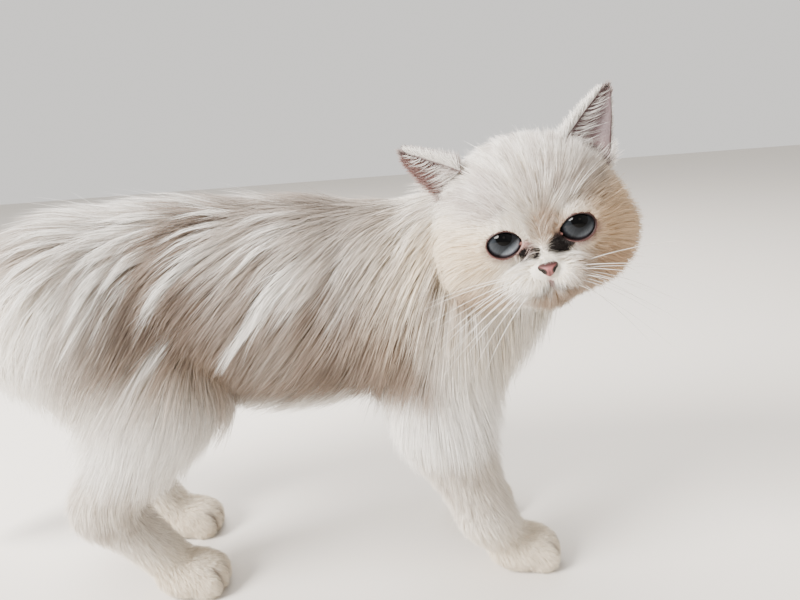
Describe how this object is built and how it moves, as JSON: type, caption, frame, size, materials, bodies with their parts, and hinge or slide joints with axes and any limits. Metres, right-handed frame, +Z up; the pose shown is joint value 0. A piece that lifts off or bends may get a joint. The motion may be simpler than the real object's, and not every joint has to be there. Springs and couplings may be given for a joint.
{
  "type": "persian cat",
  "caption": "Life-size still model of a young long-haired Persian cat, standing with its head turned to its right.",
  "frame": {"origin": "on the floor, under the middle of the cat's box", "axes": "+X towards the cat's chest, +Y towards its left side, +Z up; the face looks along -Y"},
  "size_m": [0.5114, 0.1866, 0.31],
  "materials": {
    "coat": "long soft cream-white fur",
    "shaded_coat": "long soft fur, silvery taupe under white tips",
    "paw": "short cream fur",
    "ear": "thin lilac-grey skin with fine hair",
    "eye": "wet, pale blue-grey iris",
    "nose": "bare pink skin with a dark rim"
  },
  "bodies": {
    "root": {"belly": "shaded_coat", "chest": "shaded_coat", "ear_left": "ear", "ear_right": "ear", "eye_left": "eye", "eye_right": "eye", "foreleg_left": "coat", "foreleg_right": "coat", "forepaw_left": "paw", "forepaw_right": "paw", "head": "coat", "hindleg_left": "coat", "hindleg_right": "coat", "hindpaw_left": "paw", "hindpaw_right": "paw", "neck": "coat", "nose": "nose", "rump": "coat", "tail_base": "coat", "tail_middle": "coat", "tail_tip": "coat"}
  },
  "joints": []
}
